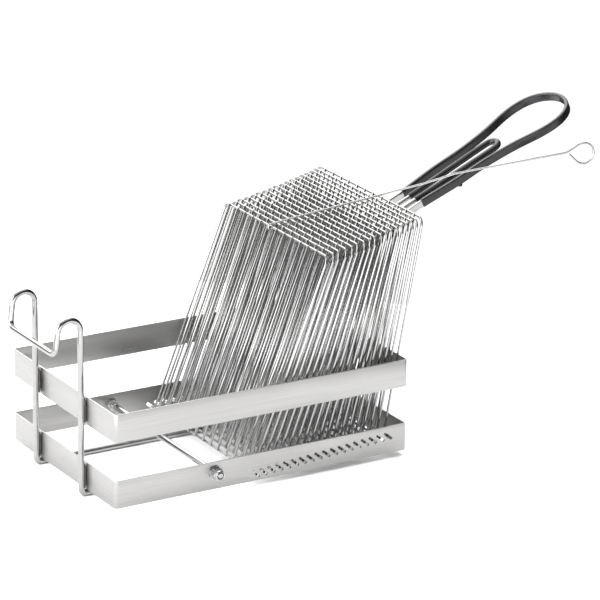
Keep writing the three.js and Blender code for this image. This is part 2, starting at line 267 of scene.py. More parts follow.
def finish_piece(name, mesh, material, body, smooth=CREASE):
    """Makes a mesh into a piece that rides on its CAD body."""
    mesh.materials.append(material)
    shade(mesh, smooth)
    piece = bpy.data.objects.new(name, mesh)
    bpy.context.scene.collection.objects.link(piece)
    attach(piece, body)
    return piece


def circle(radius, sides):
    """A round section's outline."""
    angles = [2 * math.pi * k / sides for k in range(sides)]
    return [(radius * math.cos(a), radius * math.sin(a)) for a in angles]


def rounded_rectangle(tall, thick, radius, steps=3):
    """The outline of a flat bar's section with rounded edges."""
    outline = []
    corners = [(1, 1, 0), (-1, 1, 90), (-1, -1, 180), (1, -1, 270)]
    for u, v, start in corners:
        centre = (u * (tall / 2 - radius), v * (thick / 2 - radius))
        for k in range(steps + 1):
            angle = math.radians(start + 90 * k / steps)
            outline.append(
                (centre[0] + radius * math.cos(angle), centre[1] + radius * math.sin(angle))
            )
    return outline


def path_frames(points, normal):
    """Tangent, normal and binormal at each point of a path; the normal turns as little as it can."""
    frames = []
    for i, _ in enumerate(points):
        before = points[max(i, 1)] - points[max(i, 1) - 1]
        ahead_from = min(i, len(points) - 2)
        ahead = points[ahead_from + 1] - points[ahead_from]
        tangent = (before.normalized() + ahead.normalized()).normalized()
        normal = (normal - normal.project(tangent)).normalized()
        frames.append((tangent, normal, tangent.cross(normal)))
    return frames


def sweep_rings(points, outline, normal, scales=None):
    """Rings of an outline, in metres, carried along a path."""
    frames = path_frames(points, normal)
    scales = scales or [1.0] * len(points)
    return [
        [point + (u * scale) * side + (v * scale) * up for u, v in outline]
        for point, (_, side, up), scale in zip(points, frames, scales)
    ]


def in_metres(outline):
    return [(u * MM, v * MM) for u, v in outline]


def wire(shell, points, diameter, sides=16, normal=Vector((0, 0, 1))):
    """A round wire with slightly rounded cut ends."""
    radius = diameter / 2
    cut = WIRE_CUT_ROUNDING * radius * MM
    start = (points[1] - points[0]).normalized()
    end = (points[-1] - points[-2]).normalized()
    course = [points[0], points[0] + start * cut]
    course += points[1:-1]
    course += [points[-1] - end * cut, points[-1]]
    scales = [WIRE_CUT_SCALE] + [1.0] * (len(course) - 2) + [WIRE_CUT_SCALE]
    shell.rings(sweep_rings(course, in_metres(circle(radius, sides)), normal, scales))


def fillet(points, radius, steps):
    """A polyline with its inner corners rounded; radius is in the points' own units."""
    course = [points[0]]
    for before, corner, after in zip(points, points[1:], points[2:]):
        back = (before - corner).normalized()
        ahead = (after - corner).normalized()
        half = back.angle(ahead) / 2
        centre = corner + (back + ahead).normalized() * (radius / math.sin(half))
        spoke = corner + back * (radius / math.tan(half)) - centre
        axis = ahead.cross(back).normalized()
        for k in range(steps + 1):
            turn = Matrix.Rotation((math.pi - 2 * half) * k / steps, 3, axis)
            course.append(centre + turn @ spoke)
    course.append(points[-1])
    return course


def catmull_rom(points, steps):
    """A centripetal Catmull-Rom curve through the points, with steps spans between each pair."""
    ends = [2 * points[0] - points[1], *points, 2 * points[-1] - points[-2]]
    course = [points[0].copy()]
    for a, b, c, d in zip(ends, ends[1:], ends[2:], ends[3:]):
        knots = [0.0]
        for p, q in ((a, b), (b, c), (c, d)):
            knots.append(knots[-1] + max((q - p).length, 1e-9) ** 0.5)
        t0, t1, t2, t3 = knots
        for k in range(1, steps + 1):
            t = lerp(t1, t2, k / steps)
            ab = a.lerp(b, (t - t0) / (t1 - t0))
            bc = b.lerp(c, (t - t1) / (t2 - t1))
            cd = c.lerp(d, (t - t2) / (t3 - t2))
            left = ab.lerp(bc, (t - t0) / (t2 - t0))
            right = bc.lerp(cd, (t - t1) / (t3 - t1))
            course.append(left.lerp(right, (t - t1) / (t2 - t1)))
    return course


def bead(shell, centre, radii, seed=0.0, segments=12, rows=6):
    """A slightly lumpy ellipsoid, with radii in millimetres: a weld bead or a drip."""
    rings = []
    for i in range(1, rows):
        polar = math.pi * i / rows
        ring = []
        for k in range(segments):
            turn = 2 * math.pi * k / segments
            out = Vector(
                (
                    math.sin(polar) * math.cos(turn),
                    math.sin(polar) * math.sin(turn),
                    math.cos(polar),
                )
            )
            lump = 1 + 0.12 * noise.noise(out * 2.1 + Vector((seed, 0, 0)))
            size = Vector([c * r for c, r in zip(out, radii)])
            ring.append(centre + size * (lump * MM))
        rings.append(ring)
    shell.rings(rings)


def spoke_ring(centre, axis, side, radii, height):
    """A ring about an axis with a radius, in millimetres, for each spoke, the first along side."""
    up = axis.cross(side)
    ring = []
    for k, radius in enumerate(radii):
        turn = 2 * math.pi * k / len(radii)
        spoke = side * math.cos(turn) + up * math.sin(turn)
        ring.append(centre + (spoke * radius + axis * height) * MM)
    return ring


def turned(shell, profile, centre, axis, segments=64):
    """A turned part: a closed profile of (radius, height) points, in millimetres, about an axis."""
    side = axis.orthogonal().normalized()
    rings = [spoke_ring(centre, axis, side, [r] * segments, height) for r, height in profile]
    shell.rings(rings, loop=True)


# ---- Materials ------------------------------------------------------------------------------


class Nodes:
    """A Principled material that is built up node by node."""

    def __init__(self, name, color, roughness, metallic):
        self.material = bpy.data.materials.new(name)
        self.material.use_nodes = True
        self.tree = self.material.node_tree
        self.shader = self.tree.nodes["Principled BSDF"]
        self.shader.inputs["Base Color"].default_value = (*color, 1)
        self.shader.inputs["Roughness"].default_value = roughness
        self.shader.inputs["Metallic"].default_value = metallic

    def add(self, kind, **settings):
        """A node with its inputs or properties set by name."""
        node = self.tree.nodes.new(kind)
        for key, value in settings.items():
            if key in node.inputs:
                node.inputs[key].default_value = value
            else:
                setattr(node, key, value)
        return node

    def link(self, source, target):
        self.tree.links.new(source, target)

    def noise(self, stretch, scale=1.0, detail=3.0):
        """Noise in object coordinates, stretched by a scale for each axis, per metre."""
        coordinates = self.add("ShaderNodeTexCoord")
        mapping = self.add("ShaderNodeMapping", Scale=stretch)
        texture = self.add("ShaderNodeTexNoise", Scale=scale, Detail=detail)
        self.link(coordinates.outputs["Object"], mapping.inputs["Vector"])
        self.link(mapping.outputs["Vector"], texture.inputs["Vector"])
        return texture.outputs["Fac"]

    def ramp(self, source, low, high, start=0.3, end=0.7):
        """Maps noise from start..end to low..high, either numbers or colours."""
        if isinstance(low, tuple):
            node = self.add("ShaderNodeMix", data_type="RGBA")
            colours = [socket for socket in node.inputs if socket.type == "RGBA"]
            colours[0].default_value = (*low, 1)
            colours[1].default_value = (*high, 1)
            share = self.ramp(source, 0.0, 1.0, start, end)
            self.link(share, node.inputs[0])
            return [socket for socket in node.outputs if socket.type == "RGBA"][0]
        node = self.add("ShaderNodeMapRange")
        node.inputs["From Min"].default_value = start
        node.inputs["From Max"].default_value = end
        node.inputs["To Min"].default_value = low
        node.inputs["To Max"].default_value = high
        self.link(source, node.inputs["Value"])
        return node.outputs["Result"]

    def bump(self, source, strength, distance):
        node = self.add("ShaderNodeBump", Strength=strength, Distance=distance)
        self.link(source, node.inputs["Height"])
        self.link(node.outputs["Normal"], self.shader.inputs["Normal"])


def brushed_band_material():
    """Satin stainless strip, brushed along its length."""
    look = Nodes("brushed_band", (0.5, 0.495, 0.485), 0.3, 1.0)
    streaks = look.noise((14, 14, 5200))
    patches = look.noise((9, 9, 30), detail=2.0)
    colour = look.ramp(streaks, (0.44, 0.437, 0.43), (0.55, 0.546, 0.536))
    look.link(colour, look.shader.inputs["Base Color"])
    look.link(look.ramp(patches, 0.26, 0.42), look.shader.inputs["Roughness"])
    look.bump(streaks, strength=0.25, distance=0.00004)
    look.shader.inputs["Anisotropic"].default_value = 0.5
    tangent = look.add("ShaderNodeTangent", direction_type="RADIAL", axis="Z")
    look.link(tangent.outputs["Tangent"], look.shader.inputs["Tangent"])
    return look.material


def drawn_wire_material(name, tint, stretch):
    """Bright drawn stainless wire; stretch makes its marks long draw lines or an even mottling."""
    look = Nodes(name, tint, 0.12, 1.0)
    marks = look.noise(stretch)
    dull = look.noise((60, 60, 60), detail=2.0)
    darker = tuple(0.9 * channel for channel in tint)
    look.link(look.ramp(marks, darker, tint), look.shader.inputs["Base Color"])
    look.link(look.ramp(dull, 0.12, 0.2), look.shader.inputs["Roughness"])
    look.bump(marks, strength=0.1, distance=0.00002)
    return look.material


def turned_steel_material():
    """Zinc-bright turned fasteners."""
    look = Nodes("fastener", (0.62, 0.62, 0.63), 0.25, 1.0)
    grain = look.noise((900, 900, 900), detail=2.0)
    look.link(look.ramp(grain, 0.18, 0.36), look.shader.inputs["Roughness"])
    look.bump(grain, strength=0.15, distance=0.00003)
    return look.material


def weld_and_shade_material():
    """Weld metal, rougher than the wire, painted dark as shade: the long beads down the legs stand
    for the shade between leg and band.
    """
    look = Nodes("weld", (0.13, 0.125, 0.12), 0.4, 1.0)
    ripples = look.noise((1500, 1500, 1500), detail=2.0)
    look.link(look.ramp(ripples, 0.3, 0.55), look.shader.inputs["Roughness"])
    look.bump(ripples, strength=0.4, distance=0.0001)
    return look.material


def vinyl_material():
    """Black dipped vinyl, smooth with a slight orange peel."""
    look = Nodes("vinyl", (0.012, 0.012, 0.014), 0.3, 0.0)
    peel = look.noise((350, 350, 350), detail=2.0)
    scuffs = look.noise((45, 45, 45), detail=4.0)
    colour = look.ramp(scuffs, (0.010, 0.010, 0.012), (0.022, 0.022, 0.025))
    look.link(colour, look.shader.inputs["Base Color"])
    look.link(look.ramp(scuffs, 0.24, 0.40), look.shader.inputs["Roughness"])
    look.bump(peel, strength=0.12, distance=0.0003)
    look.shader.inputs["Coat Weight"].default_value = 0.25
    look.shader.inputs["Coat Roughness"].default_value = 0.15
    return look.material


def painted_shade_edge_material():
    """Slot walls and pivot wire ends painted near black, as the shade inside the slots."""
    look = Nodes("painted_shade_edge", (0.03, 0.03, 0.032), 0.6, 0.6)
    grain = look.noise((1200, 1200, 1200), detail=2.0)
    look.link(look.ramp(grain, 0.5, 0.75), look.shader.inputs["Roughness"])
    look.bump(grain, strength=0.3, distance=0.00005)
    return look.material


def nylon_material():
    """Dark moulded nylon, as in a lock nut's insert."""
    look = Nodes("nylon", (0.06, 0.065, 0.075), 0.5, 0.0)
    grain = look.noise((700, 700, 700), detail=2.0)
    look.link(look.ramp(grain, 0.42, 0.6), look.shader.inputs["Roughness"])
    return look.material


def floor_material():
    """A matt white table. Camera rays see it paler, so that light shadows are lost on it."""
    look = Nodes("floor", (FLOOR_GREY,) * 3, 0.9, 0.0)
    look.shader.inputs["Specular IOR Level"].default_value = 0.0
    in_view = look.add("ShaderNodeLightPath").outputs["Is Camera Ray"]
    colour = look.ramp(in_view, (FLOOR_GREY,) * 3, (FLOOR_GREY_IN_VIEW,) * 3, start=0, end=1)
    look.link(colour, look.shader.inputs["Base Color"])
    return look.material


BRUSHED = brushed_band_material()
PAGE_STEEL = drawn_wire_material("page_wire", (0.5, 0.5, 0.496), (2500, 2500, 30))
BRIGHT_STEEL = drawn_wire_material("bright_wire", (0.5, 0.5, 0.496), (160, 160, 160))
FASTENER = turned_steel_material()
WELD_AND_SHADE = weld_and_shade_material()
BLACK_VINYL = vinyl_material()
NYLON = nylon_material()
PAINTED_SHADE_EDGE = painted_shade_edge_material()


# ---- Bands ----------------------------------------------------------------------------------


def band_mesh(name, bottom):
    """A strip bent into a rounded rectangle, with softened edges."""
    half_width = BAND_WIDTH / 2 - STRIP / 2
    ends = (STRIP / 2, BAND_LENGTH - STRIP / 2)
    middle = bottom + BAND_HEIGHT / 2
    corners = [
        at(BAND_LENGTH / 2, -half_width, middle),
        at(ends[1], -half_width, middle),
        at(ends[1], half_width, middle),
        at(ends[0], half_width, middle),
        at(ends[0], -half_width, middle),
        at(BAND_LENGTH / 2, -half_width, middle),
    ]
    course = fillet(corners, (BAND_CORNER - STRIP / 2) * MM, BEND_STEPS)[:-1]
    outline = in_metres(rounded_rectangle(BAND_HEIGHT, STRIP, STRIP_EDGE))
    shell = Shell()
    loop = [*course[-1:], *course, *course[:1]]
    rings = sweep_rings(loop, outline, Vector((0, 0, 1)))[1:-1]
    shell.rings(rings, loop=True)
    return shell.mesh(name)


def darken_painted_shade_edges(piece, is_edge):
    """Gives the dark painted-shade material to the faces that is_edge(face) picks."""
    piece.data.materials.append(PAINTED_SHADE_EDGE)
    for face in piece.data.polygons:
        if is_edge(face):
            face.material_index = len(piece.data.materials) - 1


def page_pivot(index):
    """A page's pivot in design millimetres, from its joint."""
    position = joints[f"page_{index + 1:02d}_hinge"]["pos_m"]
    return (position[0] - band_low.x) / MM, (position[2] - band_low.z) / MM


def through_cutter(shell, outline):
    """A prism through both long sides, from an outline of (x, z) design positions."""
    reach = BAND_WIDTH / 2 + 5
    shell.rings([[at(x, y, z) for x, z in outline] for y in (-reach, reach)])


def slot_outline(index):
    """A page's slanted slot with round ends, as (x, z) design positions."""
    x, z = page_pivot(index)
    share = index / (PAGE_COUNT - 1)
    slant = math.radians(SLOT_SLANT)
    along = (math.cos(slant), -math.sin(slant))
    in_slot = lerp(FIRST_PIVOT_IN_SLOT, LAST_PIVOT_IN_SLOT, share)
    centre = (x - in_slot * along[0], z - in_slot * along[1])
    radius = SLOT_WIDTH / 2
    outline = []
    for sign, start in ((1, -90), (-1, 90)):
        for k in range(9):
            turn = math.radians(start + 180 * k / 8) - slant
            end = sign * (SLOT_LENGTH / 2 - radius)
            outline.append(
                (
                    centre[0] + end * along[0] + radius * math.cos(turn),
                    centre[1] + end * along[1] + radius * math.sin(turn),
                )
            )
    return outline


def cut_out(piece, cutter_shell):
    """Cuts closed prisms out of a piece and keeps the result as its mesh."""
    cutter = bpy.data.objects.new("cutter", cutter_shell.mesh("cutter"))
    bpy.context.scene.collection.objects.link(cutter)
    modifier = piece.modifiers.new("cut", "BOOLEAN")
    modifier.operation = "DIFFERENCE"
    modifier.solver = "EXACT"
    modifier.object = cutter
    bpy.context.view_layer.update()
    graph = bpy.context.evaluated_depsgraph_get()
    result = bpy.data.meshes.new_from_object(piece.evaluated_get(graph))
    piece.modifiers.clear()
    piece.data = result
    bpy.data.objects.remove(cutter)


def band_strip(name, bottom):
    """A band as a piece; bottom is the height of its lower edge."""
    return finish_piece(name, band_mesh(name, bottom), BRUSHED, "frame")


def build_bands():
    """Both bands; the lower one has the pages' slots and the rod's hole in its long sides."""
    upper = band_strip("upper_band_strip", BAND_SPACING)
    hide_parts("upper_band")
    lower = band_strip("lower_band_strip", 0)
    cutters = Shell()
    for index in range(PAGE_COUNT):
        through_cutter(cutters, slot_outline(index))
    hole = [(ROD_X + x, ROD_Z + z) for x, z in circle(ROD / 2 + 2 * FIT_GAP, 32)]
    through_cutter(cutters, hole)
    cut_out(lower, cutters)
    shade(lower.data, CREASE)
    outer = BAND_WIDTH / 2 * MM
    inner = (BAND_WIDTH / 2 - STRIP) * MM
    low = at(0, 0, STRIP).z
    high = at(0, 0, BAND_HEIGHT - STRIP).z

    def is_slot_wall(face):
        through = inner < abs(face.center.y) < outer and abs(face.normal.y) < 0.3
        return through and low < face.center.z < high and abs(face.normal.x) < 0.99

    # Painted shade: the slot walls are made near black so that the slots read dark.
    darken_painted_shade_edges(lower, is_slot_wall)
    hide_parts("lower_band")


# ---- Pages ----------------------------------------------------------------------------------


def page_mesh(index):
    """A page in its own plane: the pivot wire is on the Y axis and the hoop stands in YZ."""
    share = index / (PAGE_COUNT - 1)
    shift = lerp(FIRST_UPRIGHT_SHIFT, LAST_UPRIGHT_SHIFT, share)
    shell = Shell()
    top = lerp(FIRST_PAGE_HEIGHT, LAST_PAGE_HEIGHT, share) * MM
    side = HOOP_HALF_WIDTH * MM
    corners = [(-side, 0), (-side, top), (side, top), (side, 0)]
    hoop = fillet([Vector((0, y, z)) for y, z in corners], HOOP_CORNER * MM, BEND_STEPS)
    across = Vector((1, 0, 0))
    wire(shell, hoop, PAGE_WIRE, normal=across)
    end = PIVOT_END * MM
    wire(shell, [Vector((0, -end, 0)), Vector((0, end, 0))], PAGE_WIRE, normal=across)
    for i in range(UPRIGHT_COUNT):
        scatter = UPRIGHT_SCATTER * math.sin(UPRIGHT_WAVE * i + PAGE_WAVE * index)
        y = ((i - (UPRIGHT_COUNT - 1) / 2) * UPRIGHT_PITCH + shift + scatter) * MM
        x = -UPRIGHT_OFFSET * MM
        over = UPRIGHT_OVERHANG * PAGE_WIRE * MM
        ends = [Vector((x, y, -over)), Vector((x, y, top + over))]
        wire(shell, ends, PAGE_WIRE, normal=across)
        for height in (0, top):
            crossing = Vector((x / 2, y, height))
            bead(shell, crossing, CROSSING_BEAD, seed=3.7 * i + height)
    for y in (-side, side):
        bead(shell, Vector((0, y, 0)), PIVOT_BEAD, seed=y)
    return shell.mesh(f"page_{index + 1:02d}_grid")


def page_lean(index):
    """A page's lean towards the handle, in radians."""
    steps = PAGE_COUNT - 1
    curve = (FIRST_LEAN - LAST_LEAN - FIRST_LEAN_STEP * steps) / steps**2
    fade = 1 - LEAN_SCATTER_FADE * index / steps
    scatter = LEAN_SCATTER * fade * math.sin(2 * math.pi * LEAN_WAVES * index / steps)
    return math.radians(FIRST_LEAN - FIRST_LEAN_STEP * index - curve * index**2 + scatter)


def build_pages():
    """The pages, each turned to its lean at its own pivot."""
    tip = (PIVOT_END - PIVOT_TIP) * MM
    for index in range(PAGE_COUNT):
        name = f"page_{index + 1:02d}"
        x, z = page_pivot(index)
        mesh = page_mesh(index)
        turn = Matrix.Rotation(page_lean(index), 4, "Y")
        mesh.transform(Matrix.Translation(at(x, 0, z)) @ turn)
        page = finish_piece(f"{name}_grid", mesh, PAGE_STEEL, name, 50)
        # Painted shade: each pivot wire's ends, inside the slots, are made near black.
        darken_painted_shade_edges(page, lambda face: abs(face.center.y) > tip)
        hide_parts(name)


# ---- Hanger wire ----------------------------------------------------------------------------


def hanger_points():
    """The whole bent wire, from the far rail's end round to the near rail's end."""
    y = HANGER_HALF_WIDTH
    hook_x = HOOK_INNER_X - HOOK_RADIUS
    hook_z = HOOK_TOP_Z - HOOK_RADIUS
    far = fillet(
        [at(BAND_LENGTH, y, RAIL_Z), at(LEG_X, y, RAIL_Z), at(HOOK_INNER_X, y, hook_z)],
        RAIL_BEND * MM,
        BEND_STEPS,
    )
    for k in range(1, HOOK_STEPS + 1):
        turn = math.pi * k / HOOK_STEPS
        far.append(
            at(hook_x + HOOK_RADIUS * math.cos(turn), y, hook_z + HOOK_RADIUS * math.sin(turn))
        )
    crossbar = fillet(
        [far.pop(), at(CROSSBAR_X, y, CROSSBAR_Z), at(CROSSBAR_X, 0, CROSSBAR_Z)],
        CROSSBAR_BEND * MM,
        BEND_STEPS,
    )
    far += crossbar[:-1]
    near = [Vector((p.x, -p.y, p.z)) for p in reversed(far)]
    return far + near


def build_hanger():
    """The hanger wire and its dark welds, where a leg passes a band and a rail passes a band's end;
    the long beads down the legs are painted shade between leg and band.
    """
    shell = Shell()
    wire(shell, hanger_points(), HANGER_WIRE, sides=28)
    hanger = shell.build("hanger_wire_bent", BRIGHT_STEEL, "frame", "bright_wire")
    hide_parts("hanger_wire")
    welds = Shell()
    for y in (-HANGER_HALF_WIDTH, HANGER_HALF_WIDTH):
        for bottom in (0, BAND_SPACING):
            middle = at(LEG_BEAD_X, y, bottom + BAND_HEIGHT / 2)
            # Painted shade: a long thin dark bead down the leg, where it stands off the band.
            bead(welds, middle, LEG_BEAD_SHADE, seed=y + bottom, rows=24)
        for x in (RAIL_BEAD_INSET, BAND_LENGTH - RAIL_BEAD_INSET):
            bead(welds, at(x, y, RAIL_BEAD_Z), RAIL_BEAD, seed=x + y)
    welds.build("hanger_welds_and_shade", WELD_AND_SHADE, "frame", "bright_wire")


# ---- Cross rod and fasteners ----------------------------------------------------------------


def thread_rings(outer_end, inner_end, sides=32):
    """Rings of a screw thread along Y between two design positions, rod's end first."""
    steps_per_pitch = 8
    steps = int(abs(inner_end - outer_end) / THREAD_PITCH * steps_per_pitch)
    rings = []
    for i in range(steps + 1):
        y = lerp(outer_end, inner_end, i / steps)
        ring = []
        for k in range(sides):
            turn = 2 * math.pi * k / sides
            phase = (abs(y) / THREAD_PITCH + k / sides) % 1
            depth = THREAD_DEPTH * (1 - abs(2 * phase - 1))
            lead_in = min(1.0, abs(y - outer_end) / THREAD_LEAD_IN)
            run_out = min(1.0, abs(y - inner_end) / THREAD_RUN_OUT)
            radius = ROD / 2 - depth * run_out - ROD_END_CHAMFER * (1 - lead_in)
            ring.append(at(ROD_X + radius * math.cos(turn), y, ROD_Z + radius * math.sin(turn)))
        rings.append(ring)
    return rings


def build_cross_rod():
    """The rod between the long sides, threaded at both ends."""
    shell = Shell()
    near = thread_rings(-ROD_HALF_LENGTH, -ROD_HALF_LENGTH + THREAD_LENGTH)
    far = thread_rings(ROD_HALF_LENGTH, ROD_HALF_LENGTH - THREAD_LENGTH)
    shell.rings(near + far[::-1])
    rod = shell.build("cross_rod_threaded", BRIGHT_STEEL, "frame", "bright_wire", smooth=50)
    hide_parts("cross_rod")


def hexagon_radii(chamfer_radius):
    """The spokes of a hexagon whose corners are cut back to a cone's radius at some height."""
    radii = []
    for k in range(NUT_SIDES):
        turn = 2 * math.pi * k / NUT_SIDES
        from_flat = (turn % (math.pi / 3)) - math.pi / 6
        radii.append(min(NUT_FLATS / 2 / math.cos(from_flat), chamfer_radius))
    return radii


def hex_body(shell, centre, axis, thickness):
    """A hexagon nut's body with conical chamfers on both faces and a bore."""
    side = Vector((1, 0, 0))
    face_radius = NUT_FLATS / 2 * NUT_FACE
    depths = [0.0, 0.12, 0.25, 0.4, 0.6]
    rings = []
    for height in depths + [thickness - d for d in reversed(depths)]:
        chamfer_radius = face_radius + NUT_CHAMFER_SLOPE * min(height, thickness - height)
        rings.append(spoke_ring(centre, axis, side, hexagon_radii(chamfer_radius), height))
    bore = ROD / 2 + NUT_BORE_CLEARANCE
    for radius, height in (
        (bore + NUT_BORE_CHAMFER, thickness),
        (bore, thickness - NUT_BORE_CHAMFER),
        (bore, NUT_BORE_CHAMFER),
        (bore + NUT_BORE_CHAMFER, 0),
    ):
        rings.append(spoke_ring(centre, axis, side, [radius] * NUT_SIDES, height))
    shell.rings(rings, loop=True)


def ring_profile(inner, outer, low, high, edge):
    """The profile of a washer or a plain ring, with softened outer edges."""
    return [
        (inner, low),
        (outer - edge, low),
        (outer, low + edge),
        (outer, high - edge),
        (outer - edge, high),
        (inner, high),
    ]


def build_fasteners(label, sign):
    """The washer and nuts at one end of the rod; sign is the side's direction along Y."""
    axis = Vector((0, sign, 0))
    outside = BAND_WIDTH / 2 + FIT_GAP
    base = at(ROD_X, 0, ROD_Z)

    def fastener(name, shell, node):
        piece = shell.build(name, FASTENER, "frame", "fastener", smooth=28)
        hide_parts(node)

    washer = Shell()
    profile = ring_profile(ROD / 2 + 0.2, WASHER_OUTER / 2, 0, WASHER_THICKNESS, 0.2)
    turned(washer, profile, base + axis * outside * MM, axis)
    fastener(f"{label}_washer_ring", washer, f"{label}_washer")

    nut = Shell()
    seat = base + axis * (outside + WASHER_THICKNESS + STACK_GAP) * MM
    hex_body(nut, seat, axis, LOCK_NUT_BODY)
    top = LOCK_NUT_BODY + COLLAR_HEIGHT
    collar = COLLAR_DIAMETER / 2
    profile = [
        (collar - COLLAR_WALL, LOCK_NUT_BODY - COLLAR_ROOT),
        (collar, LOCK_NUT_BODY - COLLAR_ROOT),
        (collar, top - COLLAR_ROLL),
        (collar - 0.25, top - 0.25),
        (collar - COLLAR_ROLL, top),
        (collar - COLLAR_WALL, top - 0.15),
    ]
    turned(nut, profile, seat, axis)
    fastener(f"{label}_lock_nut_hex", nut, f"{label}_lock_nut")

    insert = Shell()
    profile = ring_profile(ROD / 2 - 0.1, collar - 1.15, LOCK_NUT_BODY - 0.3, top - 0.7, 0.1)
    turned(insert, profile, seat, axis, segments=48)
    insert.build(f"{label}_nut_insert", NYLON, "frame", "fastener")

    jam = Shell()
    inside = BAND_WIDTH / 2 - STRIP - STACK_GAP - JAM_NUT_THICKNESS
    hex_body(jam, base + axis * inside * MM, axis, JAM_NUT_THICKNESS)
    fastener(f"{label}_jam_nut_hex", jam, f"{label}_jam_nut")


# ---- Handle ---------------------------------------------------------------------------------

OUTER_LOOP = [
    (-66.5, 24.0),
    (-44, 21),
    (-15, 18.6),
    (0, 18.5),
    (45, 22),
    (75, 22),
    (95, 23.5),
    (119, 27.2),
    (146, 34),
    (162, 35.6),
    (176, 33.4),
    (188, 26.5),
    (196.5, 14.5),
]
OUTER_LOOP_TIP = 199.5
INNER_ARM = [(-66.5, 8.0), (-40, 6.4), (-12, 6), (0, 6), (60, 7.6)]


def handle_point(s, y):
    """A point of the handle's plane: along it from where the vinyl starts, and across it."""
    rise = math.radians(HANDLE_RISE)
    return at(GRIP_START[0] + s * math.cos(rise), y, GRIP_START[1] + s * math.sin(rise))


def handle_normal():
    """The upward normal of the handle's plane."""
    rise = math.radians(HANDLE_RISE)
    return Vector((-math.sin(rise), 0, math.cos(rise)))


def loop_points(arm, tip, steps):
    """A loop out along one arm, round the tip and back along the mirrored arm."""
    out = [handle_point(s, y) for s, y in arm]
    back = [handle_point(s, -y) for s, y in reversed(arm)]
    return catmull_rom([*out, *tip, *back], steps)


def along_handle(point):
    """How far along the handle a point is, in millimetres from where the vinyl starts."""
    rise = math.radians(HANDLE_RISE)
    offset = point - handle_point(0, 0)
    return (offset.x * math.cos(rise) + offset.z * math.sin(rise)) / MM


def bare_bar(name, points, outline, node):
    """A handle bar whose ends are cut flush with the last page's uprights."""
    shell = Shell()
    rings = sweep_rings(points, in_metres(outline), handle_normal())
    x, z = page_pivot(PAGE_COUNT - 1)
    lean = page_lean(PAGE_COUNT - 1)
    facing = Vector((math.cos(lean), 0, -math.sin(lean)))
    plane = at(x, 0, z) + facing * ((PAGE_WIRE / 2 - UPRIGHT_OFFSET - BAR_END_SINK) * MM)
    for ring, ahead in ((rings[0], points[1] - points[0]), (rings[-1], points[-2] - points[-1])):
        for k, point in enumerate(ring):
            ring[k] = point + ahead * ((plane - point).dot(facing) / ahead.dot(facing))
    shell.rings(rings)
    piece = shell.build(name, BRIGHT_STEEL, "page_18", "bright_wire")
    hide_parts(node)


def sleeve(name, points, outer, inner, node):
    """Vinyl over a bar, open at both ends, with a rounded lip."""
    course = [p for p in points if along_handle(p) >= -0.01]
    first = (course[1] - course[0]).normalized() * (LIP_LENGTH * MM)
    last = (course[-2] - course[-1]).normalized() * (LIP_LENGTH * MM)
    course = [course[0], course[0] + first, *course[1:-1], course[-1] + last, course[-1]]
    scales = [LIP_SCALE] + [1.0] * (len(course) - 2) + [LIP_SCALE]
    outside = sweep_rings(course, in_metres(outer), handle_normal(), scales)
    inside = sweep_rings(course, in_metres(inner), handle_normal())
    shell = Shell()
    shell.rings(outside + inside[::-1], loop=True)
    piece = shell.build(name, BLACK_VINYL, "page_18", "vinyl", smooth=60)
    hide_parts(node)


def build_handle():
    """The flat outer loop and the round inner one, each a bare bar in dipped vinyl, and a drip."""
    outer_points = loop_points(OUTER_LOOP, [handle_point(OUTER_LOOP_TIP, 0)], 6)
    bar = rounded_rectangle(OUTER_BAR_TALL, OUTER_BAR_THICK, 0.5)
    bare_bar("outer_bar", outer_points, bar, "handle_outer_bar")
    coat = rounded_rectangle(OUTER_BAR_TALL + 2 * VINYL, OUTER_BAR_THICK + 2 * VINYL, 1.4, 5)
    core = rounded_rectangle(OUTER_BAR_TALL + 0.1, OUTER_BAR_THICK + 0.1, 0.5, 5)
    sleeve("outer_vinyl", outer_points, coat, core, "outer_grip")

    tip = []
    for k in range(9):
        turn = math.pi / 2 - math.pi * k / 8
        along = INNER_LOOP_CENTRE + INNER_LOOP_RADIUS * math.cos(turn)
        tip.append(handle_point(along, INNER_LOOP_RADIUS * math.sin(turn)))
    inner_points = loop_points(INNER_ARM, tip, 4)
    bare_bar("inner_bar", inner_points, circle(INNER_BAR / 2, 20), "handle_inner_bar")
    coat = circle(INNER_BAR / 2 + VINYL, 24)
    core = circle(INNER_BAR / 2 + 0.05, 24)
    sleeve("inner_vinyl", inner_points, coat, core, "inner_grip")

    drip = Shell()
    below = handle_normal() * (-(OUTER_BAR_TALL / 2 + VINYL + DRIP_HANG) * MM)
    bead(drip, handle_point(*DRIP_PLACE) + below, DRIP_BEAD, seed=4.0)
    drip.build("vinyl_drip", BLACK_VINYL, "page_18", "vinyl", smooth=60)


# ---- Pull rod -------------------------------------------------------------------------------


def arc(centre, radius, start, end, steps):
    """Points of an arc in the XZ plane, in millimetres."""
    points = []
    for k in range(steps + 1):
        turn = lerp(start, end, k / steps)
        points.append(centre + Vector((radius * math.cos(turn), 0, radius * math.sin(turn))))
    return points


def in_xz(place):
    """A point of the pull rod's own plane, in millimetres from the first page's top wire."""
    return Vector((place[0], 0, place[1]))


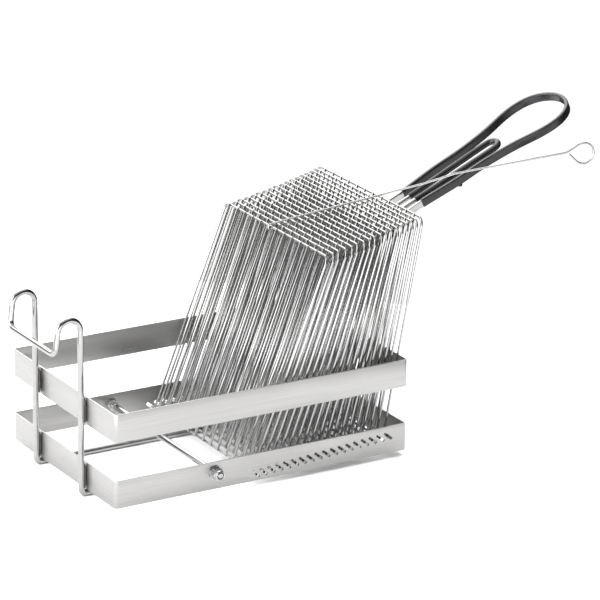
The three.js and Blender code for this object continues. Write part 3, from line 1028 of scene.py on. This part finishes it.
def build_pull_rod():
    """Built flat in XZ from the first page's top wire, then turned to its yaw."""
    eye_centre = in_xz(EYE_CENTRE)
    end = in_xz(ROD_END)
    bends = [in_xz(place) for place in ROD_BENDS]
    centre = in_xz(RING_CENTRE)
    back = end - centre
    facing = math.atan2(back.z, back.x)
    reach = math.acos(RING_RADIUS / back.length)
    ring = arc(centre, RING_RADIUS, facing - reach, facing + reach - 2 * math.pi, 40)
    tail = end + (ring[-1] - end).normalized() * (RING_OPENING + PULL_ROD)
    start = eye_centre + Vector((0, 0, EYE_RADIUS))
    shaft = fillet([start, *bends, end, ring[0]], ROD_BEND_RADIUS, BEND_STEPS)
    eye = arc(eye_centre, EYE_RADIUS, math.pi / 2, 2.4 * math.pi, 28)
    place = Matrix.Translation(Vector(joints["pull_rod_swing"]["pos_m"]))
    place = place @ Matrix.Rotation(math.radians(PULL_YAW), 4, "Z") @ Matrix.Scale(MM, 4)
    shell = Shell()
    for points in ([*shaft[:-1], *ring, tail], eye):
        wire(shell, [place @ p for p in points], PULL_ROD, sides=14, normal=Vector((0, 1, 0)))
    piece = shell.build("pull_rod_wire", BRIGHT_STEEL, "pull_rod", "bright_wire")
    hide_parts("pull_rod")


# ---- Stage ----------------------------------------------------------------------------------


def build_floor():
    """A pale round table top, bright enough to leave only a trace of shadow."""
    mesh = bpy.data.meshes.new("floor")
    edit = bmesh.new()
    bmesh.ops.create_circle(edit, cap_ends=True, segments=96, radius=FLOOR_RADIUS)
    edit.to_mesh(mesh)
    edit.free()
    mesh.transform(Matrix.Translation((*FLOOR_CENTRE, 0)))
    mesh.materials.append(floor_material())
    floor = bpy.data.objects.new("floor", mesh)
    bpy.context.scene.collection.objects.link(floor)


class World:
    """Broad soft studio lights painted on the sky, with a plain white backdrop for the camera."""

    def __init__(self, ambient):
        self.world = bpy.data.worlds.new("studio")
        self.world.use_nodes = True
        bpy.context.scene.world = self.world
        self.tree = self.world.node_tree
        self.direction = self.tree.nodes.new("ShaderNodeTexCoord").outputs["Generated"]
        self.rays = self.tree.nodes.new("ShaderNodeLightPath")
        self.total = None
        self.add(ambient)

    def math(self, operation, *values):
        """A Math node's output; each value is a number or another node's output."""
        node = self.tree.nodes.new("ShaderNodeMath")
        node.operation = operation
        for socket, value in zip(node.inputs, values):
            if isinstance(value, float):
                socket.default_value = value
            else:
                self.tree.links.new(value, socket)
        return node.outputs[0]

    def add(self, value):
        """Adds a number or a node's output to the sky's strength."""
        self.total = value if self.total is None else self.math("ADD", self.total, value)

    def softbox(self, azimuth, elevation, inner, outer, strength, rays=None):
        """A round glow, full within the inner angle and gone at the outer one, in degrees.

        It lights everything, or only one kind of ray.
        """
        across = math.cos(math.radians(elevation))
        towards = (
            across * math.cos(math.radians(azimuth)),
            across * math.sin(math.radians(azimuth)),
            math.sin(math.radians(elevation)),
        )
        dot = self.tree.nodes.new("ShaderNodeVectorMath")
        dot.operation = "DOT_PRODUCT"
        self.tree.links.new(self.direction, dot.inputs[0])
        dot.inputs[1].default_value = towards
        share = self.tree.nodes.new("ShaderNodeMapRange")
        share.interpolation_type = "SMOOTHSTEP"
        share.inputs["From Min"].default_value = math.cos(math.radians(outer))
        share.inputs["From Max"].default_value = math.cos(math.radians(inner))
        self.tree.links.new(dot.outputs["Value"], share.inputs["Value"])
        glow = self.math("MULTIPLY", share.outputs["Result"], strength)
        self.add(self.math("MULTIPLY", glow, self.rays.outputs[rays]) if rays else glow)

    def finish(self, backdrop):
        """Shows the camera a plain backdrop of this strength, and everything else the lights."""
        mix = self.tree.nodes.new("ShaderNodeMix")
        self.tree.links.new(self.rays.outputs["Is Camera Ray"], mix.inputs["Factor"])
        self.tree.links.new(self.total, mix.inputs["A"])
        mix.inputs["B"].default_value = backdrop
        background = self.tree.nodes["Background"]
        background.inputs["Color"].default_value = (1, 1, 1, 1)
        self.tree.links.new(mix.outputs["Result"], background.inputs["Strength"])


def build_lights():
    """Soft glows round the object; one more from above is for matt surfaces only."""
    world = World(SKY_AMBIENT)
    for glow in GLOWS:
        world.softbox(*glow)
    world.softbox(*DIFFUSE_ONLY_GLOW, "Is Diffuse Ray")
    world.finish(BACKDROP)
    bpy.context.scene.view_settings.view_transform = "Standard"


def build_camera():
    """A long lens on the near side, turned towards the hook end and aimed from the bands' middle."""
    azimuth = math.radians(CAMERA_AZIMUTH)
    elevation = math.radians(CAMERA_ELEVATION)
    roll = math.radians(CAMERA_ROLL)
    right = Vector((math.cos(azimuth), math.sin(azimuth), 0))
    back = Vector(
        (
            math.sin(azimuth) * math.cos(elevation),
            -math.cos(azimuth) * math.cos(elevation),
            math.sin(elevation),
        )
    )
    up = back.cross(right)
    level_right = right
    right = level_right * math.cos(roll) + up * math.sin(roll)
    up = up * math.cos(roll) - level_right * math.sin(roll)
    aim = at(BAND_LENGTH / 2, 0, 0)
    offset = back * CAMERA_DISTANCE + right * CAMERA_RIGHT + up * CAMERA_UP
    data = bpy.data.cameras.new("camera")
    data.lens = CAMERA_LENS
    data.sensor_width = 36
    camera = bpy.data.objects.new("camera", data)
    bpy.context.scene.collection.objects.link(camera)
    pose = Matrix((right, up, back)).transposed().to_4x4()
    pose.translation = aim + offset * MM
    camera.matrix_world = pose
    bpy.context.scene.camera = camera


build_camera()
build_bands()
build_pages()
build_hanger()
build_cross_rod()
build_fasteners("near", -1)
build_fasteners("far", 1)
build_handle()
build_pull_rod()
build_floor()
build_lights()
